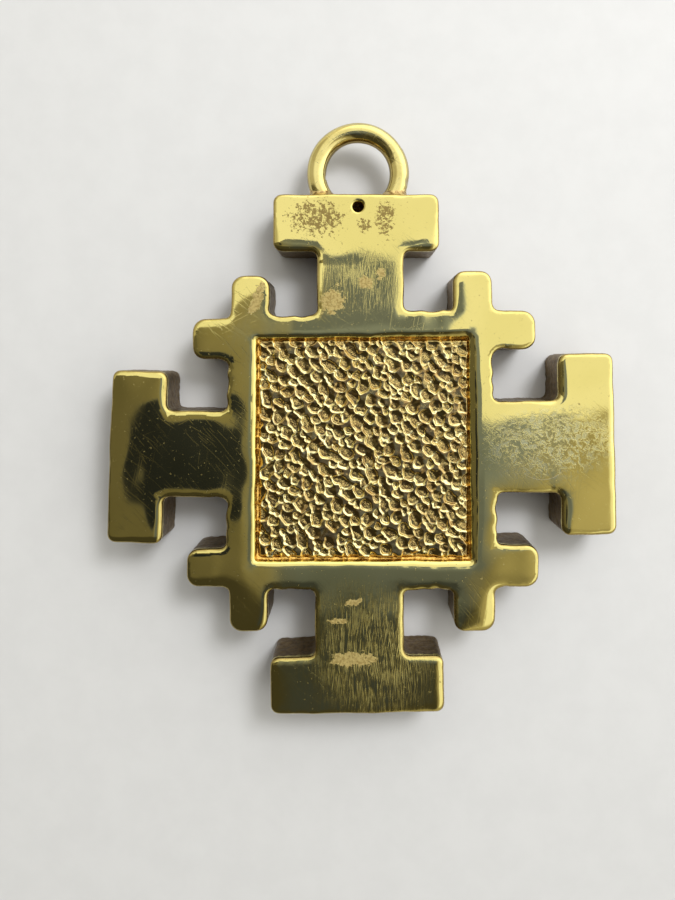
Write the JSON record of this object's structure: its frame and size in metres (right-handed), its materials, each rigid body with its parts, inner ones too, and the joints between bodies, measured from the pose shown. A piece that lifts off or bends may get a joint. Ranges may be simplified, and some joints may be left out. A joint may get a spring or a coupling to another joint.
{
  "type": "pectoral cross",
  "caption": "Thick brass pendant cross with T-ended arms and small corner crosses around a square frame, a hammered panel and a brazed wire bail.",
  "frame": {"origin": "on the flat back, behind the middle of the square panel", "axes": "+Y up the cross to the bail, +Z out of the front face, +X to the right as seen from the front"},
  "size_m": [0.0766, 0.0894, 0.008],
  "materials": {
    "cast_brass": "hand-buffed front with fine scratches and tarnish, rough as-cast sides",
    "antiqued_brass": "hammered dimples with dark antiquing in them and polished ridges between",
    "wire_brass": "buffed drawn wire",
    "brazing": "buffed brazing metal, slightly redder than the wire"
  },
  "bodies": {
    "root": {"cross_body": "cast_brass", "textured_panel": "antiqued_brass", "bail_loop": "wire_brass", "braze_fillet_left": "brazing", "braze_fillet_right": "brazing"}
  },
  "joints": []
}
